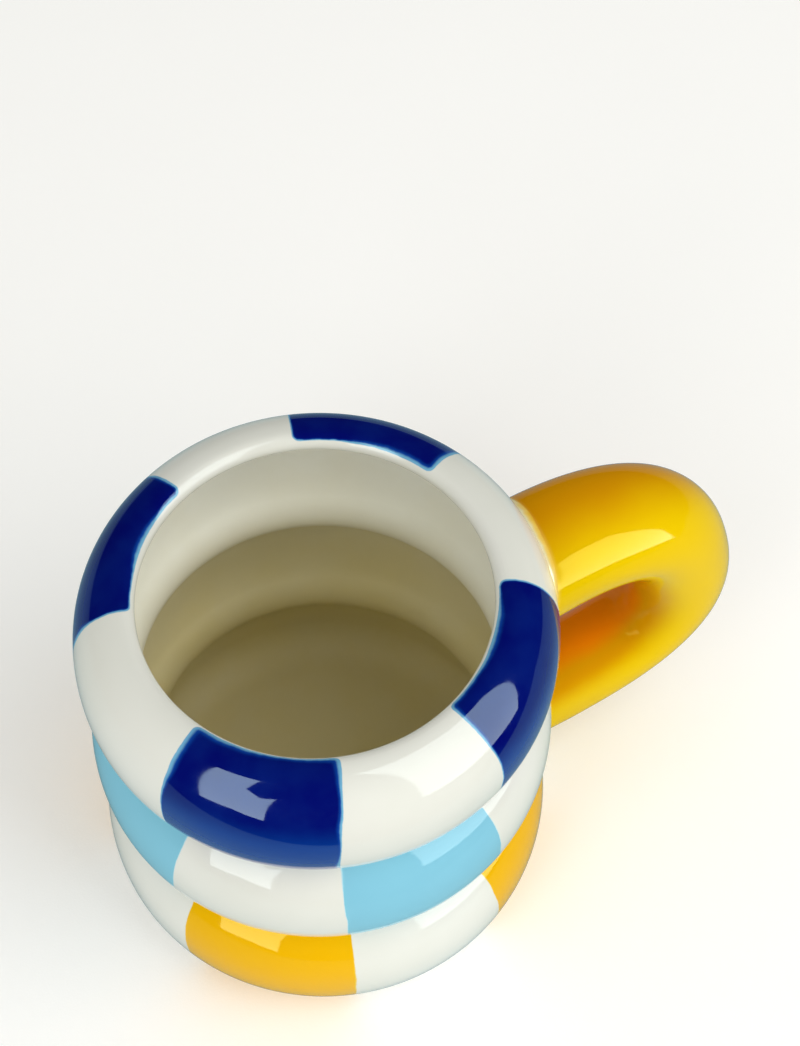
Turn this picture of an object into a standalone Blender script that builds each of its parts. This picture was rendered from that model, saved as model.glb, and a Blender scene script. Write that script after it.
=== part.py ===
"""Three-ring ceramic mug: a slip-cast cup of three stacked rings, a fat looped handle,
and the two beads of slip that fix the handle to the cup.

Standalone Blender 4.5 script. Units are metres, +Z is up. The origin is the centre of the
underside, on the cup's axis, and the handle points along +X. Nothing on the object moves.
"""

import math

import bmesh
import bpy
import numpy as np

# Driving dimensions of the cup.
CREST_RADIUS = 0.0450  # from the axis to the fattest part of each ring
RING_DEPTH = 0.0112  # how far a ring's section reaches in from its crest to its middle
RING_RISE = 0.0159  # half height of a ring's section
TOP_RISE = 0.0154  # the same above the middle of the top ring, which is a little flatter
RING_POWER = 2.15  # 2 is an ellipse; a little more makes the section squarer
RING_PITCH = 0.0314  # from the middle of one ring to the middle of the next
LOW_RING_HEIGHT = 0.0150  # middle of the lowest ring above the underside
RING_COUNT = 3
VALLEY_RADIUS = 0.0020  # rounding of the crease between two rings
WALL = 0.0042
LIP_CENTRE_RADIUS = 0.0346  # the rim is a half round of half the wall's thickness, centred here
FLOOR_TOP = 0.0050
FLOOR_CORNER = 0.0085  # width of the curve between floor and wall
FLOOR_CORNER_RISE = 0.0068  # and its height
FLOOR_CORNER_END = math.radians(-8)  # angle at which that curve meets the wall
FLOOR_CORNER_CLEARANCE = 0.0010  # from there up to the wall's first point
FOOT_RADIUS = 0.0372  # edge of the flat underside
FOOT_RISE = 0.0014  # height of the rounded edge of the foot
FOOT_SHOULDER = 0.0005  # height of the middle of that edge

# Driving dimensions of the handle. Its centre line is a rounded loop that leans outwards.
LOOP_CENTRE_RADIUS = 0.0475
LOOP_CENTRE_HEIGHT = 0.0443
LOOP_HALF_LENGTH = 0.0321
LOOP_HALF_HEIGHT = 0.0275
LOOP_TILT = math.radians(16.5)
LOOP_POWER = 2.4
LOOP_START = math.radians(100)  # angle round the loop at which the upper arm begins
LOOP_END = math.radians(-130)  # and the lower arm ends, both inside the cup's outline
TUBE_RADIUS = 0.0109  # at the outermost part of the loop
TUBE_TAPER = 0.0010  # the upper arm is fatter by this for each radian round the loop

# Driving dimensions of the two slip joints.
GAP = 0.0003  # between touching pieces
SLIP_LAYER = 0.0006  # slip between the end of the handle and the cup
BEAD_WIDTH = 0.0015  # how far the bead stands out round the handle
BEAD_REACH = 0.0028  # how far it climbs along the handle from the cup's wall

# Sizes of the helpers that trim the pieces.
CUTTER_MARGIN = 0.0040  # how far a cutter runs on past the underside
HALF_SPACE_SIDE = 0.2000  # a block this long and wide
HALF_SPACE_HEIGHT = 0.1000  # and this tall holds one end of the handle

# Fineness of the solids.
TURN_STEPS = 48
RING_POINTS = 6
VALLEY_POINTS = 2
LIP_POINTS = 4
CORNER_POINTS = 6
COLLAR_POINTS = 60
LOOP_POINTS = 34
TUBE_FACETS = 6  # bevel resolution, which makes 16 sides
CURVE_SAMPLES = 400  # points at which a curve is read before it is divided evenly
WELD = 0.00001  # points closer than this become one
SHARP_ANGLE = math.radians(50)  # an edge that turns more than this is drawn sharp

# Colour (linear red, green, blue) and roughness of each glaze.
WHITE_GLAZE = ((0.80, 0.81, 0.74), 0.12)
YELLOW_GLAZE = ((0.82, 0.53, 0.01), 0.12)
JOINT_GLAZE = ((0.86, 0.72, 0.30), 0.15)

RING_HEIGHTS = [LOW_RING_HEIGHT + RING_PITCH * level for level in range(RING_COUNT)]


def clear_scene():
    """Remove every object of the scene."""
    for obj in list(bpy.data.objects):
        bpy.data.objects.remove(obj, do_unlink=True)


def make_collection(name):
    collection = bpy.data.collections.new(name)
    bpy.context.scene.collection.children.link(collection)
    return collection


def make_glaze(name, colour, roughness):
    """A plain glaze: a non-metal with the piece's colour."""
    material = bpy.data.materials.new(name)
    material.use_nodes = True
    shader = material.node_tree.nodes["Principled BSDF"]
    shader.inputs["Base Color"].default_value = (*colour, 1.0)
    shader.inputs["Roughness"].default_value = roughness
    shader.inputs["Metallic"].default_value = 0.0
    return material


# ---------------------------------------------------------------- outline of the cup


def ring_section(angles, rise):
    """Points and outward normals of a ring's outer half, from its superellipse.

    An angle of 0 is the crest, and a quarter turn is the top of the section.
    """
    exponent = 2 / RING_POWER
    cosine, sine = np.cos(angles), np.sin(angles)
    points = np.stack(
        [
            CREST_RADIUS - RING_DEPTH + RING_DEPTH * np.abs(cosine) ** exponent,
            rise * np.sign(sine) * np.abs(sine) ** exponent,
        ],
        axis=-1,
    )
    slope = exponent * (RING_POWER - 1)
    normals = np.stack(
        [
            np.abs(cosine) ** slope / RING_DEPTH,
            np.sign(sine) * np.abs(sine) ** slope / rise,
        ],
        axis=-1,
    )
    return points, normals / np.linalg.norm(normals, axis=-1, keepdims=True)


def valley_angle():
    """Angle on a ring's section where the round of the crease touches it."""
    angles = np.linspace(0, math.pi / 2, CURVE_SAMPLES)[1:-1]
    points, normals = ring_section(angles, RING_RISE)
    centre_height = points[:, 1] + VALLEY_RADIUS * normals[:, 1]
    return float(np.interp(RING_PITCH / 2, centre_height, angles))


def valley(upper_height, count):
    """Points and normals of the crease under the ring at upper_height, top to bottom."""
    touch, normal = ring_section(np.array(-valley_angle()), RING_RISE)
    centre = touch + VALLEY_RADIUS * normal + (0, upper_height)
    start = math.atan2(-normal[1], -normal[0])
    sweep = np.linspace(start, 2 * math.pi - start, count + 2)[1:-1]
    towards_clay = np.stack([np.cos(sweep), np.sin(sweep)], axis=-1)
    return centre + VALLEY_RADIUS * towards_clay, -towards_clay


def lip_angle():
    """Angle on the top ring's section where the half round of the rim takes over."""
    share = (LIP_CENTRE_RADIUS - CREST_RADIUS + RING_DEPTH) / RING_DEPTH
    return math.acos(share ** (RING_POWER / 2))


def foot_angle():
    """Angle on the lowest ring's section where the rounded edge of the foot begins."""
    share = (LOW_RING_HEIGHT - FOOT_RISE) / RING_RISE
    return -math.asin(share ** (RING_POWER / 2))


def wall_line(offset, ring_points, valley_points):
    """The cup's outer wall from the rim down to the foot, moved outwards by offset."""
    crease = valley_angle()
    top, above = RING_HEIGHTS[-1], RING_HEIGHTS[:0:-1]
    runs = [(np.linspace(lip_angle(), 0, ring_points), TOP_RISE, top)]
    runs.append((np.linspace(0, -crease, ring_points)[1:], RING_RISE, top))
    for height in RING_HEIGHTS[-2::-1]:
        last = foot_angle() if height == RING_HEIGHTS[0] else -crease
        runs.append((np.linspace(crease, last, 2 * ring_points - 1), RING_RISE, height))
    line = []
    for number, (angles, rise, height) in enumerate(runs):
        points, normals = ring_section(angles, rise)
        line.append(points + (0, height) + offset * normals)
        if 1 <= number <= len(above):
            points, normals = valley(above[number - 1], valley_points)
            line.append(points + offset * normals)
    return np.concatenate(line)


def cup_profile():
    """The cup's closed section, from the middle of its floor up the inside, over the rim
    and down the outside to the middle of the underside."""
    inner = wall_line(-WALL, RING_POINTS // 2 + 1, VALLEY_POINTS)[::-1]
    corner_top = FLOOR_TOP + FLOOR_CORNER_RISE
    inner = inner[inner[:, 1] > corner_top + FLOOR_CORNER_CLEARANCE]
    wall_radius = float(inner[0, 0])
    turn = np.linspace(-math.pi / 2, FLOOR_CORNER_END, CORNER_POINTS)
    corner = np.stack(
        [
            wall_radius - FLOOR_CORNER + FLOOR_CORNER * np.cos(turn),
            corner_top + FLOOR_CORNER_RISE * np.sin(turn),
        ],
        axis=-1,
    )
    lip_height = RING_HEIGHTS[-1] + TOP_RISE - WALL / 2
    turn = np.linspace(1.5 * math.pi, 0.5 * math.pi, LIP_POINTS + 2)[1:-1]
    lip = np.stack(
        [
            LIP_CENTRE_RADIUS + WALL / 2 * np.cos(turn),
            lip_height + WALL / 2 * np.sin(turn),
        ],
        axis=-1,
    )
    foot = [(FOOT_RADIUS + FOOT_RISE, FOOT_SHOULDER), (FOOT_RADIUS, 0), (0, 0)]
    outer = wall_line(0, RING_POINTS, VALLEY_POINTS)
    return np.concatenate([[(0, FLOOR_TOP)], corner, inner, lip, outer, foot])


def envelope_profile(offset):
    """The cup's outline grown by offset and filled to the axis, as a cutter."""
    outer = wall_line(offset, RING_POINTS, VALLEY_POINTS)
    top, bottom = outer[0], outer[-1]
    under = [(bottom[0], -CUTTER_MARGIN), (0, -CUTTER_MARGIN)]
    return np.concatenate([[(0, top[1])], outer, under])


def collar_profile(offset):
    """Like envelope_profile, for an offset wider than the crease's round: at each height
    it takes the farthest-out ring."""
    heights = np.linspace(-CUTTER_MARGIN, RING_HEIGHTS[-1] + TOP_RISE, COLLAR_POINTS)
    angles = np.linspace(-math.pi / 2, math.pi / 2, CURVE_SAMPLES)[1:-1]
    points, normals = ring_section(angles, RING_RISE)
    grown = points + offset * normals
    reach = [
        np.interp(heights - middle, grown[:, 1], grown[:, 0], left=0, right=0)
        for middle in RING_HEIGHTS
    ]
    radii = np.max(reach, axis=0)
    outer = np.stack([radii, heights], axis=-1)[radii > 0][::-1]
    return np.concatenate([[(0, outer[0, 1])], outer, [(0, outer[-1, 1])]])


def turned(name, profile, collection):
    """A solid of revolution from a profile that runs down its outer side."""
    mesh = bpy.data.meshes.new(name)
    corners = [(float(radius), 0.0, float(height)) for radius, height in profile]
    edges = [(index, index + 1) for index in range(len(corners) - 1)]
    mesh.from_pydata(corners, edges, [])
    obj = bpy.data.objects.new(name, mesh)
    collection.objects.link(obj)
    screw = obj.modifiers.new("Turn", "SCREW")
    screw.axis = "Z"
    screw.angle = math.tau
    screw.steps = TURN_STEPS
    screw.render_steps = TURN_STEPS
    screw.use_merge_vertices = True
    screw.merge_threshold = WELD
    screw.use_smooth_shade = True
    return obj


# ---------------------------------------------------------------- line of the handle


def loop_point(angle):
    """Place on the handle's centre line, as a point in the XZ plane."""
    exponent = 2 / LOOP_POWER
    along = math.copysign(abs(math.cos(angle)) ** exponent, math.cos(angle))
    across = math.copysign(abs(math.sin(angle)) ** exponent, math.sin(angle))
    along *= LOOP_HALF_LENGTH
    across *= LOOP_HALF_HEIGHT
    return (
        LOOP_CENTRE_RADIUS + along * math.cos(LOOP_TILT) - across * math.sin(LOOP_TILT),
        0.0,
        LOOP_CENTRE_HEIGHT + along * math.sin(LOOP_TILT) + across * math.cos(LOOP_TILT),
    )


def loop_tube(name, extra, collection):
    """The handle's tube, with its radius grown by extra, as a closed mesh."""
    curve = bpy.data.curves.new(name, "CURVE")
    curve.dimensions = "3D"
    curve.bevel_depth = TUBE_RADIUS
    curve.bevel_resolution = TUBE_FACETS
    curve.use_fill_caps = True
    spline = curve.splines.new("POLY")
    spline.points.add(LOOP_POINTS - 1)
    # Even steps of the loop's own length keep the facets alike.
    angles = np.linspace(LOOP_START, LOOP_END, CURVE_SAMPLES)
    places = np.array([loop_point(angle) for angle in angles])
    lengths = np.linalg.norm(np.diff(places, axis=0), axis=1)
    travelled = np.concatenate([[0], np.cumsum(lengths)])
    even = np.linspace(0, travelled[-1], LOOP_POINTS)
    for point, angle in zip(spline.points, np.interp(even, travelled, angles)):
        point.co = (*loop_point(angle), 1.0)
        point.radius = (TUBE_RADIUS + TUBE_TAPER * angle + extra) / TUBE_RADIUS
    tube = bpy.data.objects.new(name + "_line", curve)
    collection.objects.link(tube)
    bpy.context.view_layer.update()
    graph = bpy.context.evaluated_depsgraph_get()
    mesh = bpy.data.meshes.new_from_object(tube.evaluated_get(graph))
    mesh.name = name
    shape = bmesh.new()
    shape.from_mesh(mesh)
    bmesh.ops.remove_doubles(shape, verts=shape.verts, dist=WELD)
    bmesh.ops.recalc_face_normals(shape, faces=shape.faces)
    shape.to_mesh(mesh)
    shape.free()
    mesh.materials.clear()
    mesh.shade_smooth()
    mesh.set_sharp_from_angle(angle=SHARP_ANGLE)
    obj = bpy.data.objects.new(name, mesh)
    obj.matrix_world = tube.matrix_world
    collection.objects.link(obj)
    bpy.data.objects.remove(tube, do_unlink=True)
    return obj


def cut(obj, cutter, operation):
    boolean = obj.modifiers.new(operation.title(), "BOOLEAN")
    boolean.operation = operation
    boolean.object = cutter
    boolean.solver = "EXACT"


def half_space(name, upper, collection):
    """A block that holds the upper or the lower end of the handle, for keeping one."""
    shape = bmesh.new()
    bmesh.ops.create_cube(shape, size=1.0)
    rise = HALF_SPACE_HEIGHT / 2 if upper else -HALF_SPACE_HEIGHT / 2
    for vertex in shape.verts:
        vertex.co = (
            vertex.co.x * HALF_SPACE_SIDE + LOOP_CENTRE_RADIUS,
            vertex.co.y * HALF_SPACE_SIDE,
            vertex.co.z * HALF_SPACE_HEIGHT + LOOP_CENTRE_HEIGHT + rise,
        )
    mesh = bpy.data.meshes.new(name)
    shape.to_mesh(mesh)
    shape.free()
    obj = bpy.data.objects.new(name, mesh)
    collection.objects.link(obj)
    return obj


def as_guide(obj):
    obj.hide_render = True
    obj.display_type = "WIRE"
    return obj


# ---------------------------------------------------------------- pieces


def build_cup_body(parts, material):
    """The cast cup: three rings, the floor and the rounded rim in one piece of clay."""
    body = turned("cup_body", cup_profile(), parts)
    body.data.materials.append(material)
    return body


def build_handle(parts, cutters, material):
    """The looped handle, trimmed at both ends to the curve of the cup."""
    handle = loop_tube("handle", 0.0, parts)
    seat = GAP + SLIP_LAYER + GAP
    trim = as_guide(turned("handle_trim", envelope_profile(seat), cutters))
    cut(handle, trim, "DIFFERENCE")
    handle.data.materials.append(material)
    return handle


def build_slip_joint(name, upper, parts, cutters, material):
    """A bead of slip: a thin layer under the handle's end and a collar round it."""
    joint = loop_tube(name, GAP + BEAD_WIDTH, parts)
    reach = as_guide(turned(name + "_reach", collar_profile(BEAD_REACH), cutters))
    wall = as_guide(turned(name + "_wall", envelope_profile(GAP), cutters))
    keep = as_guide(half_space(name + "_end", upper, cutters))
    socket = as_guide(loop_tube(name + "_socket", GAP, cutters))
    seat = as_guide(turned(name + "_seat", envelope_profile(GAP + SLIP_LAYER), cutters))
    cut(socket, seat, "DIFFERENCE")
    cut(joint, keep, "INTERSECT")
    cut(joint, reach, "INTERSECT")
    cut(joint, wall, "DIFFERENCE")
    cut(joint, socket, "DIFFERENCE")
    joint.data.materials.append(material)
    return joint


def main():
    clear_scene()
    parts = make_collection("three_ring_mug")
    cutters = make_collection("cutters")
    white_glaze = make_glaze("white_glaze", *WHITE_GLAZE)
    yellow_glaze = make_glaze("yellow_glaze", *YELLOW_GLAZE)
    joint_glaze = make_glaze("joint_glaze", *JOINT_GLAZE)
    build_cup_body(parts, white_glaze)
    build_handle(parts, cutters, yellow_glaze)
    build_slip_joint("upper_slip_joint", True, parts, cutters, joint_glaze)
    build_slip_joint("lower_slip_joint", False, parts, cutters, joint_glaze)


main()
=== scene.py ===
"""Looks of a three-ring ceramic mug, painted by hand in a checker of four colours.

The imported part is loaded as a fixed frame, and finer pieces stand for its solids: the cup
with its painted patches, the looped handle, and the two beads of slip that join them.
Lengths are in metres unless a name says otherwise, +Z is up, the underside stands at
height zero on the cup's axis, and the handle points along +X.
"""

import logging
import math
from collections.abc import Callable
from dataclasses import dataclass
from enum import Enum

import bpy
import numpy as np
from mathutils import Euler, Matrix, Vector


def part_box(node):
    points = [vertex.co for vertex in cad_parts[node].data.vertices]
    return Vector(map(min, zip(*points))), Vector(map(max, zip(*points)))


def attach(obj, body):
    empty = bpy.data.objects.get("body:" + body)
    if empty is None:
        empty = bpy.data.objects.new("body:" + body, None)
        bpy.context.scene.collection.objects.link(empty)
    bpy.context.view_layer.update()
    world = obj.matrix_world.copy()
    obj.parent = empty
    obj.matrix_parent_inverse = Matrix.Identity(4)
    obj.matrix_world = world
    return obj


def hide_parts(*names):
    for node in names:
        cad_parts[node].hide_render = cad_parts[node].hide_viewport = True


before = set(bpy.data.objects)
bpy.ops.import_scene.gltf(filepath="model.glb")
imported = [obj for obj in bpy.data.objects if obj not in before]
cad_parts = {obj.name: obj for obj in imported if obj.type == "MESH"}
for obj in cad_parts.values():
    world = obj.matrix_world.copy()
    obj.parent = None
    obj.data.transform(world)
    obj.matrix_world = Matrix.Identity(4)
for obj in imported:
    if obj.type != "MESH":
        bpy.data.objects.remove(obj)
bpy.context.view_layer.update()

LOG = logging.getLogger("mug")
MM = 1000.0  # millimetres in a metre
INSET = 0.00003  # the fine pieces stay this far inside the CAD box

Array = np.ndarray
Colour = tuple[float, float, float]
Piece = bpy.types.Object
Material = bpy.types.Material
Node = bpy.types.Node
Socket = bpy.types.NodeSocket


# ------ meshes


def joined(*parts: object) -> Array:
    """Numbers joined along a new last axis, each first spread to the shape of all."""
    return np.stack(np.broadcast_arrays(*parts), axis=-1)


def signed_power(value: Array, exponent: float) -> Array:
    """The value's size raised to an exponent, with its sign kept."""
    return np.sign(value) * np.abs(value) ** exponent


def enclosed_volume(points: Array, triangles: Array) -> float:
    """Signed volume inside triangles: the sum of a . (b x c) / 6."""
    a, b, c = (points[triangles[:, corner]] for corner in range(3))
    return float(np.einsum("ij,ij->", a, np.cross(b, c)) / 6)


def new_object(name: str, data: bpy.types.ID) -> Piece:
    """A new object in the scene."""
    obj = bpy.data.objects.new(name, data)
    bpy.context.scene.collection.objects.link(obj)
    return obj


def new_mesh(name: str, points: Array, faces: list[list[int]]) -> Piece:
    """A new smooth mesh object in the scene."""
    mesh = bpy.data.meshes.new(name)
    mesh.from_pydata(points.tolist(), [], faces)
    mesh.shade_smooth()
    return new_object(name, mesh)


def ring_quads(rows: int, columns: int, close_rows: bool) -> Array:
    """Quads between neighbouring rows of a grid whose columns close into rings.

    Args:
        rows: Number of rows of points.
        columns: Number of points in each row.
        close_rows: Whether the last row also joins the first, as on a torus.

    Returns:
        An array of point numbers, four to a quad, row by row.
    """
    row = np.arange(rows if close_rows else rows - 1)[:, None]
    column = np.arange(columns)
    here, below, beside = row * columns, (row + 1) % rows * columns, (column + 1) % columns
    return joined(here + column, here + beside, below + beside, below + column).reshape(-1, 4)


def closed_mesh(name: str, grid: Array, poles: tuple[Array, Array] | None) -> Piece:
    """A closed, smooth mesh from a grid of rings.

    Args:
        name: Name of the piece.
        grid: Points with shape (rows, columns, 3); each row is a closed ring.
        poles: End points that close the first and the last ring with a fan of
            triangles, or None where the rows close into a torus.

    Returns:
        The new object, its faces pointing outwards.
    """
    rows, columns = grid.shape[:2]
    points = grid.reshape(-1, 3)
    quads, fans = ring_quads(rows, columns, poles is None), np.empty((0, 3), int)
    if poles is not None:
        column = np.arange(columns)
        beside = (column + 1) % columns
        first, last_row = len(points), (rows - 1) * columns
        end = joined(first + 1, last_row + column, last_row + beside)
        fans = np.concatenate([joined(first, beside, column), end])
        points = np.concatenate([points, np.stack(poles)])
    halves = np.concatenate([quads[:, [0, 1, 2]], quads[:, [0, 2, 3]], fans])
    if enclosed_volume(points, halves) < 0:
        quads, fans = quads[:, ::-1], fans[:, ::-1]
    return new_mesh(name, points, quads.tolist() + fans.tolist())


def add_values(obj: Piece, name: str, values: Array, fill: float = 0.0) -> None:
    """Store one number per point of a piece for its materials to read.

    Args:
        obj: The piece.
        name: Name of the attribute.
        values: Numbers in the order of the grid's points.
        fill: The number for the poles, which come after the grid's points.
    """
    held = np.full(len(obj.data.vertices), fill, np.float32)
    held[: values.size] = values.ravel()
    obj.data.attributes.new(name, "FLOAT", "POINT").data.foreach_set("value", held)


# ------ outline of the cup


class Zone(Enum):
    """Parts of the cup's surface that are finished differently."""

    LINER = 0
    PAINTED = 1
    UNDERSIDE = 2


@dataclass(frozen=True)
class Section:
    """The cup's section line, from the middle of the floor round to the underside."""

    radius: Array
    height: Array
    along: Array  # length of line travelled from the middle of the floor
    zone: Array  # number of the Zone that each point belongs to
    ring: Array  # number of the ring that each point belongs to, from below, or -1


@dataclass(frozen=True)
class CupShape:
    """Sizes of the cup and the lines that follow from them."""

    crest_radius: float
    crown: float
    ring_depth: float = 0.0112
    ring_rise: float = 0.0159
    top_rise: float = 0.0154
    ring_power: float = 2.15
    ring_pitch: float = 0.0314
    low_ring_height: float = 0.0150
    ring_count: int = 3
    valley_radius: float = 0.0020
    wall: float = 0.0042
    lip_centre_radius: float = 0.0346
    floor_top: float = 0.0050
    floor_corner: float = 0.0085
    floor_corner_rise: float = 0.0068
    foot_radius: float = 0.0372
    foot_rise: float = 0.0014
    ring_points: int = 22
    valley_points: int = 8
    lip_points: int = 16
    flat_points: int = 12
    foot_points: int = 7
    glazed_foot_points: int = 5  # of the foot's edge
    corner_gap: float = 0.0003  # between the floor's corner and the wall's first point
    lip_gap: float = 0.0004  # between the wall's last point and the lip's middle

    def ring_heights(self) -> list[float]:
        """Height of each ring's middle, from below."""
        return [self.low_ring_height + self.ring_pitch * level for level in range(self.ring_count)]

    def crown_height(self) -> float:
        """Height of the middle of the rounded lip."""
        return self.crown - self.wall / 2

    def ring_section(self, angles: Array, rise: float) -> tuple[Array, Array]:
        """Points and outward normals of a ring's outer half.

        The section is a superellipse: its reach outwards is the depth times
        |cos|^(2/power), and its height is the rise times |sin|^(2/power).

        Args:
            angles: Angles on the section; 0 is the crest, a quarter turn the top.
            rise: Half height of the section.

        Returns:
            Points and unit normals as (radius, height) pairs.
        """
        exponent = 2 / self.ring_power
        slope = exponent * (self.ring_power - 1)
        cosine, sine = np.abs(np.cos(angles)), np.sin(angles)
        reach = self.ring_depth * cosine**exponent
        points = joined(self.crest_radius - self.ring_depth + reach, rise * signed_power(sine, exponent))
        normals = joined(cosine**slope / self.ring_depth, signed_power(sine, slope) / rise)
        return points, normals / np.linalg.norm(normals, axis=-1, keepdims=True)

    def valley_angle(self) -> float:
        """Angle on a ring's section where the round of the crease touches it."""
        angles = np.linspace(0.2, 1.5, 2000)
        points, normals = self.ring_section(angles, self.ring_rise)
        centres = points[:, 1] + self.valley_radius * normals[:, 1]
        return float(np.interp(self.ring_pitch / 2, centres, angles))

    def valley(self, upper_height: float) -> tuple[Array, Array]:
        """Points and normals of the round crease under a ring, from above to below."""
        touch, normal = self.ring_section(np.array(-self.valley_angle()), self.ring_rise)
        centre = touch + self.valley_radius * normal + (0, upper_height)
        start = math.atan2(-normal[1], -normal[0])
        sweep = np.linspace(start, 2 * math.pi - start, self.valley_points + 2)[1:-1]
        towards_clay = joined(np.cos(sweep), np.sin(sweep))
        return centre + self.valley_radius * towards_clay, -towards_clay

    def wall_line(self, offset: float) -> tuple[Array, Array]:
        """The outer wall from the rim down to the foot, moved outwards by an offset.

        Args:
            offset: Distance along the wall's normals; negative goes into the clay.

        Returns:
            The points as (radius, height) pairs, and the ring that each belongs to.
        """
        share = (self.lip_centre_radius - self.crest_radius + self.ring_depth) / self.ring_depth
        lip = math.acos(share ** (self.ring_power / 2))
        share = (self.low_ring_height - self.foot_rise) / self.ring_rise
        foot = -math.asin(share ** (self.ring_power / 2))
        crease, heights, count = self.valley_angle(), self.ring_heights(), self.ring_points
        line, owner = [], []
        for ring in reversed(range(self.ring_count)):
            is_top = ring == self.ring_count - 1
            top, bottom = lip if is_top else crease, foot if ring == 0 else -crease
            upper = self.ring_section(
                np.linspace(top, 0, count), self.top_rise if is_top else self.ring_rise
            )
            lower = self.ring_section(np.linspace(0, bottom, count)[1:], self.ring_rise)
            points, normals = (np.concatenate(pair) for pair in zip(upper, lower))
            line.append(points + (0, heights[ring]) + offset * normals)
            owner.append(np.full(len(points), ring))
            if ring > 0:
                points, normals = self.valley(heights[ring])
                line.append(points + offset * normals)
                half = self.valley_points // 2
                owner.append(np.repeat([ring, ring - 1], [half, self.valley_points - half]))
        return np.concatenate(line), np.concatenate(owner)

    def liner_line(self) -> Array:
        """The inside, from the middle of the floor up to the lip.

        The floor is flat, its edge a quarter of an ellipse, and the wall is the outer
        wall moved inwards by its thickness, so each ring shows inside as a hollow.
        """
        wall = self.wall_line(-self.wall)[0][::-1]
        corner_top = self.floor_top + self.floor_corner_rise
        wall = wall[wall[:, 1] > corner_top + self.corner_gap]
        wall = wall[wall[:, 1] < self.crown_height() - self.lip_gap]
        edge = float(wall[0, 0]) - self.floor_corner
        turn = np.linspace(-math.pi / 2, -0.08, self.flat_points + 4)
        corner = joined(
            edge + self.floor_corner * np.cos(turn), corner_top + self.floor_corner_rise * np.sin(turn)
        )
        floor = joined(np.linspace(0, edge, self.flat_points + 1)[:-1], self.floor_top)
        return np.concatenate([floor, corner, wall])

    def lip_line(self) -> Array:
        """The rounded lip, half a circle of half the wall's thickness, inside to outside."""
        turn = np.linspace(1.12 * math.pi, 0.5 * math.pi, self.lip_points)[:-1]
        across, up = self.wall / 2 * np.cos(turn), self.wall / 2 * np.sin(turn)
        return joined(self.lip_centre_radius + across, self.crown_height() + up)

    def foot_line(self) -> Array:
        """The foot's rounded edge, a parabola, and the flat underside to the axis."""
        start = self.wall_line(0)[0][-1]
        share = np.linspace(0, 1, self.foot_points + 1)[1:, None]
        bend = np.array([self.foot_radius + self.foot_rise, 0.0])
        end = np.array([self.foot_radius, 0.0])
        edge = (1 - share) ** 2 * start + 2 * share * (1 - share) * bend + share**2 * end
        return np.concatenate([edge, joined(np.linspace(self.foot_radius, 0, self.flat_points)[1:], 0.0)])

    def section(self) -> Section:
        """The whole closed section line with its zones and rings."""
        liner, lip, foot = self.liner_line(), self.lip_line(), self.foot_line()
        wall, owner = self.wall_line(0)
        line = np.concatenate([liner, lip, wall, foot])
        steps = np.linalg.norm(np.diff(line, axis=0), axis=1)
        glazed, bare = self.glazed_foot_points, len(foot) - self.glazed_foot_points
        zone = np.repeat(
            [Zone.LINER.value, Zone.PAINTED.value, Zone.UNDERSIDE.value],
            [len(liner), len(lip) + len(wall) + glazed, bare],
        )
        above = np.repeat([-1, self.ring_count - 1], [len(liner), len(lip)])
        ring = np.concatenate([above, owner, np.repeat([0, -1], [glazed, bare])])
        return Section(*line.T, np.concatenate([[0], np.cumsum(steps)]), zone, ring)

    def wall_distance(self, points: Array) -> Array:
        """How far points stand off the cup's outer wall; negative is inside the clay.

        Each point is measured in the plane through the cup's axis, to the nearest
        stretch of the wall line, with the sign of that stretch's outward side.
        """
        line = self.wall_line(0)[0]
        start, step = line[:-1], np.diff(line, axis=0)
        outward = joined(-step[:, 1], step[:, 0])
        outward /= np.linalg.norm(outward, axis=1, keepdims=True)
        x, y, z = points.reshape(-1, 3).T
        offset = joined(np.hypot(x, y), z)[:, None] - start
        share = np.clip((offset * step).sum(-1) / (step * step).sum(-1), 0, 1)
        offset -= share[..., None] * step
        nearest = np.argmin((offset**2).sum(-1), axis=1)
        chosen = offset[np.arange(len(x)), nearest]
        side = np.sign((chosen * outward[nearest]).sum(-1))
        return (side * np.linalg.norm(chosen, axis=1)).reshape(points.shape[:-1])


# ------ painted checker


class Paint(Enum):
    """The painted colours; each value names the map of distances to its edges."""

    COBALT = "cobalt_edge"
    SKY = "sky_edge"
    YELLOW = "yellow_edge"


@dataclass(frozen=True)
class Edge:
    """One upright edge of a patch, in degrees round the cup from the handle.

    The angle is middle + lean * rise + flare * rise squared above the middle, where
    rise is 1 at the top of the ring and -1 at its bottom.
    """

    middle: float
    lean: float = 0.0
    flare: float = 0.0

    def angle(self, rise: Array) -> Array:
        """The edge's angle in degrees at each rise."""
        return self.middle + self.lean * rise + self.flare * np.maximum(rise, 0) ** 2


@dataclass(frozen=True)
class Band:
    """The painted patches on one ring, each between its two upright edges."""

    ring: int
    patches: tuple[tuple[Edge, Edge], ...]


CHECKER = {
    Paint.COBALT: Band(
        2,
        (
            (Edge(24.6), Edge(72.3)),
            (Edge(113.0), Edge(162.3, flare=-1.5)),
            (Edge(-152.8), Edge(-109.6, lean=0.4, flare=1.9)),
            (Edge(-67.5, flare=-2.8), Edge(-24.3, lean=2.5)),
        ),
    ),
    Paint.SKY: Band(
        1,
        (
            (Edge(161.5), Edge(-153.5, lean=1.9)),
            (Edge(-109.1, lean=-0.5), Edge(-65.8, lean=-1.4)),
            (Edge(-22.5), Edge(24.6)),
            (Edge(72.3), Edge(113.0)),
        ),
    ),
    Paint.YELLOW: Band(
        0,
        (
            (Edge(-153.3, lean=-1.0), Edge(-107.4)),
            (Edge(-64.5, lean=-1.6), Edge(-22.5)),
            (Edge(24.6), Edge(72.3)),
            (Edge(113.0), Edge(161.3)),
        ),
    ),
}


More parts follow.
